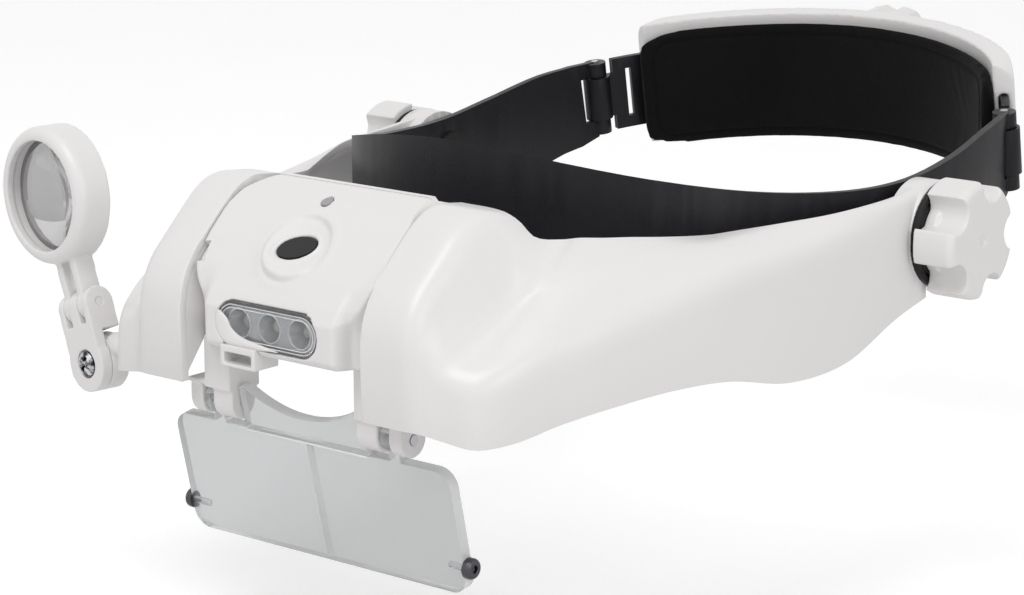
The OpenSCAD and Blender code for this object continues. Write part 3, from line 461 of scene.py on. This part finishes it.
# The wall beside the lamp, set just inside the skin, and the wall behind the lamp
RIB_T, RIB_IN_Y, RIB_IN_Z, RIB_FRONT = 2, 0.3, 0.2, 8.9
BELLY_Z, SILL_Z, RIB_TOP = -16.5, -12.5, 17
BRIDGE_Y, BRIDGE_T, BRIDGE_TOP = -116.2, 2.4, 17.5
# Sections along the arm
STEPS = 120

loops = [arm_loop(RAIL_S[-1] * i / STEPS) for i in range(STEPS + 1)]
outside = loops[0][:len(loops[0]) // 2]
rib = [(p.y + (RIB_IN_Y if i else 0), p.z - RIB_IN_Z) for i, p in enumerate(outside)]
rib += [
    (RIB_FRONT - AHEAD, BELLY_Z), (BRIDGE_Y, SILL_Z),
    (BRIDGE_Y + BRIDGE_T, SILL_Z), (BRIDGE_Y + BRIDGE_T, RIB_TOP),
]
back_wall = [
    (BRIDGE_Y, SILL_Z), (BRIDGE_Y + BRIDGE_T, SILL_Z),
    (BRIDGE_Y + BRIDGE_T, BRIDGE_TOP), (BRIDGE_Y, BRIDGE_TOP),
]
visor = piece("visor_skin", solid([
    ([p for loop in loops for p in loop], grid_faces(len(loops), len(loops[0]))),
    tube(BOLT_BORE, EYE_R, EYE_IN, ARM_X),
    prism(rib, SEAM_X, SEAM_X + RIB_T),
    prism(back_wall, -0.5, SEAM_X + 1),
]), "visor_shell")
bevelled(visor, 0.6, 3, 35)

# Lamp housing. Its slope holds the button: slope_o is the button's middle, slope_n stands
# off the slope, and slope_v points up it.
SLOPE_A = math.radians(46.2)
slope_o = Vector((0, -138.3, 7.8)) * MM
slope_n = Vector((0, -math.sin(SLOPE_A), math.cos(SLOPE_A)))
slope_v = Vector((0, math.cos(SLOPE_A), math.sin(SLOPE_A)))
lamp = recast("lamp_housing", 0.4, 4)


def step(a, b, x):
    """From 0 at a to 1 at b, smoothly."""
    u = min(max((x - a) / (b - a), 0), 1)
    return u * u * (3 - 2 * u)


# The front stands out as a nose, and its corners lie back beside the cheeks. Each pair says
# where a corner starts and where it is full, in x, z and y.
NOSE_LEFT, NOSE_RIGHT = (20.6, 23.2), (18.6, 23.5)
CORNER_Z, CORNER_Y = (3.5, -9), (-133, -140)
CORNER_BACK = 3.6
# The lamp is drawn in a little, which opens the seam to the visor
SEAM_SHARE = 0.992
for v in lamp.data.vertices:
    x, y, z = v.co / MM
    beside = step(*(NOSE_LEFT if x > 0 else NOSE_RIGHT), abs(x))
    back_off = beside * step(*CORNER_Z, z) * step(*CORNER_Y, y) * CORNER_BACK
    v.co.y += back_off * MM
    v.co.x *= SEAM_SHARE

# Small square notch at the seam on the wearer's right
NOTCH_X, NOTCH_UP, NOTCH_SIZE = -26.9, -5.2, (2.8 * MM, 5.4 * MM, 4.6 * MM)
notch = placed("notch", bpy.data.meshes.new("notch"))
cube = bmesh.new()
bmesh.ops.create_cube(cube, size=1)
cube.to_mesh(notch.data)
cube.free()
notch_turn = Matrix((Vector((1, 0.35, 0)).normalized(), slope_v, slope_n)).transposed().to_4x4()
notch.matrix_world = (
    Matrix.Translation(slope_o + (Vector((NOTCH_X, 0, 0)) + slope_v * NOTCH_UP) * MM)
    @ notch_turn @ Matrix.Diagonal((*NOTCH_SIZE, 1))
)
cut = lamp.modifiers.new("cut", "BOOLEAN")
cut.object = notch
cut.operation = "DIFFERENCE"
cut.solver = "EXACT"
bpy.context.view_layer.update()
bake(lamp)
bpy.data.objects.remove(notch)

# The button lies askew in its dish, which leans: low at its upper right, proud at its lower
# left. Half its long and short way in millimetres, and the shares that each is drawn in by.
BUTTON_TURN = math.radians(24)
BUTTON_DIR = (math.cos(BUTTON_TURN), math.sin(BUTTON_TURN))
BUTTON_LONG, BUTTON_SHORT = 5.15, 3.28
LESS_LONG, LESS_SHORT = 0.12, 0.05
# Where the turn fades out round the button, and how deep under the slope it reaches
TURN_FADE, TURN_DEPTH = (6.8, 8.9), 7
# The dish's low side, how it stands and leans, where it fades out and how deep it reaches
DISH_LOW = math.radians(56)
DISH_RISE, DISH_LEAN, DISH_FADE, DISH_DEPTH = 0.3, 0.155, (8.2, 9.5), 2.6
# Place, width and height of the rim round the dish, and of the lip round the button's hole
RIM_R, RIM_W, RIM_H = 10.6, 1.0, 0.15
HOLE_LIP_R, HOLE_LIP_W, HOLE_LIP_H = 1.14, 0.1, 0.36


def dish_tilt(x, y):
    """How far the dish stands off the slope at x and y, in millimetres."""
    low = x * math.cos(DISH_LOW) + y * math.sin(DISH_LOW)
    return (DISH_RISE - DISH_LEAN * low) * (1 - step(*DISH_FADE, math.hypot(x, y)))


def askew(o):
    """Turns what lies at the slope's middle with the button, fading out round it."""
    for v in o.data.vertices:
        d = v.co - slope_o
        up_off = d.dot(slope_n)
        if up_off < -TURN_DEPTH * MM:
            continue
        x, y = d.x, d.dot(slope_v)
        share = 1 - step(*TURN_FADE, math.hypot(x, y) / MM)
        if not share:
            continue
        x *= 1 - LESS_LONG * share
        y *= 1 - LESS_SHORT * share
        a = BUTTON_TURN * share
        v.co = (slope_o + Vector((x * math.cos(a) - y * math.sin(a), 0, 0))
                + slope_v * (x * math.sin(a) + y * math.cos(a)) + slope_n * up_off)


askew(lamp)
for v in lamp.data.vertices:
    d = v.co - slope_o
    up_off = d.dot(slope_n) / MM
    if up_off < -DISH_DEPTH:
        continue
    x, y = d.x / MM, d.dot(slope_v) / MM
    rim = math.exp(-(((math.hypot(x, y) - RIM_R) / RIM_W) ** 2)) * RIM_H
    along = x * BUTTON_DIR[0] + y * BUTTON_DIR[1]
    across = y * BUTTON_DIR[0] - x * BUTTON_DIR[1]
    oval_r = math.hypot(along / BUTTON_LONG, across / BUTTON_SHORT)
    hole_lip = math.exp(-(((oval_r - HOLE_LIP_R) / HOLE_LIP_W) ** 2)) * HOLE_LIP_H
    v.co += slope_n * (rim + hole_lip + dish_tilt(x, y)) * MM

# A near-white, half-clear finish that paints highlights onto rims and onto the edges of clear
# parts
painted_highlight = material("lens_edge_painted_highlight", (0.97, 0.975, 0.98), 0.2, trans=0.45, ior=1.3)


def bead(name, paths, thick, like):
    """Closed beads of painted highlight that follow paths of points in millimetres, on the lamp's
    face.
    """
    pts, faces = [], []
    for path in paths:
        n, base = len(path), len(pts)
        for i, p in enumerate(path):
            along = (path[(i + 1) % n] - path[i - 1]).normalized()
            out = along.cross(Vector((0, 1, 0)))
            for j in range(8):
                b = 2 * math.pi * j / 8
                off = out * thick * math.cos(b) + Vector((0, thick * math.sin(b), 0))
                pts.append((p + off) * MM)
                k, m = (j + 1) % 8, (i + 1) % n * 8
                faces.append((base + i * 8 + j, base + i * 8 + k, base + m + k, base + m + j))
    mesh = bpy.data.meshes.new(name)
    mesh.from_pydata(pts, [], faces)
    mesh.materials.append(painted_highlight)
    smoothed(mesh)
    o = placed(name, mesh)
    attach(o, body_of[like])


def round_path(cx, cz, r, y, stretch=0):
    """A circle, or a pill when stretched to each side."""
    path = []
    for i in range(64):
        a = 2 * math.pi * (i + 0.5) / 64
        x = cx + r * math.cos(a) + math.copysign(stretch, math.cos(a))
        path.append(Vector((x, y, cz + r * math.sin(a))))
    return path


# Raised rims of the three lights, and thin lines along the cap's two steps, all drawn in the
# painted highlight
CAP_Z, CAP_HALF, LIGHT_STEP, LIGHT_R = -9.8, 10.8, 9.4, 3.4
bead(
    "light_rims_painted_highlight",
    [round_path(k * LIGHT_STEP, CAP_Z, LIGHT_R, -147.05) for k in (-1, 0, 1)],
    0.22, "lamp_lens",
)
bead(
    "cap_painted_highlights",
    [round_path(0, CAP_Z, r, y, CAP_HALF) for r, y in ((4.35, -148.35), (3.6, -148.38))],
    0.13, "lamp_lens",
)

# The housing's lower lip sweeps up over the left end of the cap. Its inner line is drawn
# over the cap through seven knots.
LIP_AT = (0, 1, 2, 3, 4, 5, 6)
LIP_X = (-14.6, -12.6, -11.2, -8.9, -5.9, -2.6, 3.6)
LIP_Z = (-7.4, -8.9, -11.0, -12.4, -13.2, -13.6, -14.5)
LIP_ROWS, LIP_ACROSS = 60, 8
# How far ahead its back, its foot's edge and its face lie, and how the face falls inwards
LIP_BACK, LIP_SIDE, LIP_FACE, LIP_DROP = -148.3, -148.8, -149.03, 0.5
# Its outer line goes round the cap's end (radius, first angle, sweep and share of the way),
# then this far along the cap's lower side; its foot spreads outside that line
END_R, END_FROM, END_SWEEP, END_SHARE = 4.75, 150, 120, 0.55
LIP_ALONG, LIP_SPREAD = 14.4, 0.6


def lip_rows():
    """Points of the lip's inner line, its outer line and its foot."""
    for i in range(LIP_ROWS + 1):
        u = i / LIP_ROWS
        at = LIP_AT[-1] * u
        inner = Vector((smooth_at(LIP_AT, LIP_X, at), 0, smooth_at(LIP_AT, LIP_Z, at)))
        turn = math.radians(END_FROM + END_SWEEP * min(u / END_SHARE, 1))
        away = Vector((math.cos(turn), 0, math.sin(turn)))
        out = Vector((END_R * math.cos(turn) - CAP_HALF, 0, CAP_Z + END_R * math.sin(turn)))
        out.x += max(u - END_SHARE, 0) / (1 - END_SHARE) * LIP_ALONG
        yield inner, out, out + away * LIP_SPREAD * (1 - step(0.75, 1, u))


lip_pts = []
for inner, out, foot in lip_rows():
    lip_pts.append(inner + Vector((0, LIP_BACK, 0)))
    for k in range(LIP_ACROSS + 1):
        t = k / LIP_ACROSS
        lip_pts.append(inner.lerp(out, t) + Vector((0, LIP_FACE + LIP_DROP * (1 - t) ** 3, 0)))
    lip_pts += [foot + Vector((0, LIP_SIDE, 0)), foot + Vector((0, LIP_BACK, 0))]
lip_faces = grid_faces(LIP_ROWS + 1, len(lip_pts) // (LIP_ROWS + 1))
lip_mesh = solid([(lip_pts, lip_faces)], mirror=False)
lip_mesh.materials.append(looks["white_plastic"])
smoothed(lip_mesh)
lip = placed("cap_lip", lip_mesh)
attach(lip, body_of["lamp_housing"])

# The other moulded nodes: voxel in millimetres, passes of smoothing, share of faces kept.
# The studs' shanks end at this x, so that little of them shows through the clear plate.
STUD_IN = 42.4
for name, voxel, passes, keep in (
    ("left_bracket", 0.3, 3, 1), ("right_bracket", 0.3, 3, 1), ("charge_inlet", 0.25, 2, 1),
    ("loupe_mount", 0.3, 3, 1), ("loupe_link", 0.25, 3, 1), ("loupe_ring", 0.3, 4, 1),
    ("loupe_retainer", 0.25, 2, 1), ("left_knob", 0.35, 4, 1), ("right_knob", 0.35, 4, 1),
    ("temple_washers", 0.25, 2, 1), ("rear_housing", 0.45, 4, 0.6), ("rear_knob", 0.4, 4, 1),
    ("plate_studs", 0.14, 2, 1), ("loupe_screw", 0.14, 2, 1), ("power_button", 0.2, 4, 1),
):
    o = recast(name, voxel, passes, keep)
    if name == "power_button":
        askew(o)
        for v in o.data.vertices:
            d = v.co - slope_o
            v.co += slope_n * dish_tilt(d.x / MM, d.dot(slope_v) / MM) * MM
    if name == "plate_studs":
        for v in o.data.vertices:
            v.co.x = math.copysign(max(abs(v.co.x), STUD_IN * MM), v.co.x)
edged("front_band", 0.45)
edged("left_strap", 0.3)
edged("right_strap", 0.3)

# Lens plate: clear faces, and edges painted bright as a highlight. plate_n is its normal, plate_up
# points up it.
plate = edged("lens_plate", 0.35)
LEAN = math.radians(13)
plate_n = Vector((0, math.cos(LEAN), math.sin(LEAN)))
plate_up = Vector((0, -math.sin(LEAN), math.cos(LEAN)))
hinge = Vector((0, -136, -32.5)) * MM
# The side faces take the painted highlight
plate.data.materials.append(painted_highlight)
for p in plate.data.polygons:
    if abs(p.normal.dot(plate_n)) < 0.8:
        p.material_index = 1


def slab(name, x0, x1, z0, z1, half_t, like, bevel_w=0.1):
    """A thin bar in the lens plate's own frame, with rounded edges, in the painted highlight."""
    pts = [hinge + Vector((x, 0, 0)) * MM + plate_up * z * MM + plate_n * t * MM
           for t in (-half_t, half_t) for x, z in ((x0, z0), (x1, z0), (x1, z1), (x0, z1))]
    mesh = bpy.data.meshes.new(name)
    mesh.from_pydata(pts, [], [
        (3, 2, 1, 0), (4, 5, 6, 7), (0, 1, 5, 4), (1, 2, 6, 5), (2, 3, 7, 6), (3, 0, 4, 7),
    ])
    o = placed(name, mesh)
    mesh.materials.append(painted_highlight)
    bevelled(o, bevel_w, 2)
    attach(o, body_of[like])


# Joint of the two lens halves, and the step where the lenses meet the web: real lines, drawn as
# bars of painted highlight
slab("plate_joint", -0.06, 0.06, -36.6, -6.2, 1.53, "lens_plate", 0.03)
slab("plate_step", -19.2, 19.2, -6.6, -6.1, 1.62, "lens_plate")
edged("lamp_lens", 0.25)

# Rear pad: the crowned cushion swells against its cover
REAR_A = math.radians(9.2)
rear_o = Vector((0, 59.2, 11)) * MM
to_rear = Matrix.Rotation(-REAR_A, 4, "X") @ Matrix.Translation(-rear_o)
from_rear = to_rear.inverted()
# The arc's axis lies this far ahead of the pad's frame; radii of the housing's inside and of
# the face that meets the head
ARC_BACK, HOUSING_IN, PAD_IN = 33.0, 72.98, 68.73
PAD_VOXEL, PAD_PASSES, SWELL_MOST, SWELL_FRAMES = 1.0, 12, 1.3, 20
# Half the pad's angle and height, and the length of a degree on its arc
PAD_HALF_A, PAD_HALF_H, MM_A_DEGREE = 54.5, 17.0, 1.2
# How far outside PAD_IN the face's crown reaches
FACE_DEEP = 2.6
# The sewn line: how far in from the edge, its width and depth, and the corners' radius
SEAM_IN, SEAM_W, SEAM_DEPTH, CORNER_R = 3.0, 0.45, 0.5, 9


def from_axis(p):
    """Distance of a point in the pad's frame from the arc's axis, in metres."""
    return math.hypot(p.x, p.y + ARC_BACK * MM)


def scaled_round(p, k):
    """Moves a point in the pad's frame to k times its distance from the arc's axis."""
    p.x, p.y = p.x * k, (p.y + ARC_BACK * MM) * k - ARC_BACK * MM


def cushion(node):
    o = piece(node + "_cushion", nodes[node].data.copy(), node)
    # Remeshed in the pad's own frame, so that its flat sides stay free of steps
    o.data.transform(to_rear)
    new_skin(o, PAD_VOXEL, PAD_PASSES)
    bake(o)
    o.data.transform(from_rear)
    start = [v.co.copy() for v in o.data.vertices]
    c = o.modifiers.new("swell", "CLOTH")
    c.settings.effector_weights.gravity = 0
    c.settings.use_pressure = True
    c.settings.uniform_pressure_force = 4
    c.settings.tension_stiffness = 25
    c.settings.compression_stiffness = 25
    c.settings.bending_stiffness = 2
    c.collision_settings.use_collision = False
    for f in range(1, SWELL_FRAMES + 1):
        scene.frame_set(f)
    bake(o)
    scene.frame_set(1)
    # The swelling is kept small, and off the housing that the pad lies in
    for v, a in zip(o.data.vertices, start):
        d = v.co - a
        if d.length > SWELL_MOST * MM:
            v.co = a + d * (SWELL_MOST * MM / d.length)
        p = to_rear @ v.co
        r = from_axis(p)
        scaled_round(p, min(r, (HOUSING_IN - 0.05) * MM) / r)
        v.co = from_rear @ p
    m = o.modifiers.new("fine", "SUBSURF")
    m.levels = m.render_levels = 1
    bake(o)
    smoothed(o.data)
    # Sewn line along the edge of the face that meets the head, round at its corners
    for v in o.data.vertices:
        p = to_rear @ v.co
        r = from_axis(p) / MM
        a = math.degrees(math.atan2(p.x, p.y + ARC_BACK * MM))
        if r > PAD_IN + FACE_DEEP:
            continue
        z = p.z / MM
        side = (PAD_HALF_A - abs(a)) * MM_A_DEGREE
        brim = min(PAD_HALF_H - z, z + PAD_HALF_H)
        inset = min(side, brim)
        if side < CORNER_R and brim < CORNER_R:
            inset = CORNER_R - math.hypot(CORNER_R - side, CORNER_R - brim)
        dip = math.exp(-(((inset - SEAM_IN) / SEAM_W) ** 2)) * SEAM_DEPTH
        scaled_round(p, 1 + dip / r)
        v.co = from_rear @ p


cushion("rear_pad")
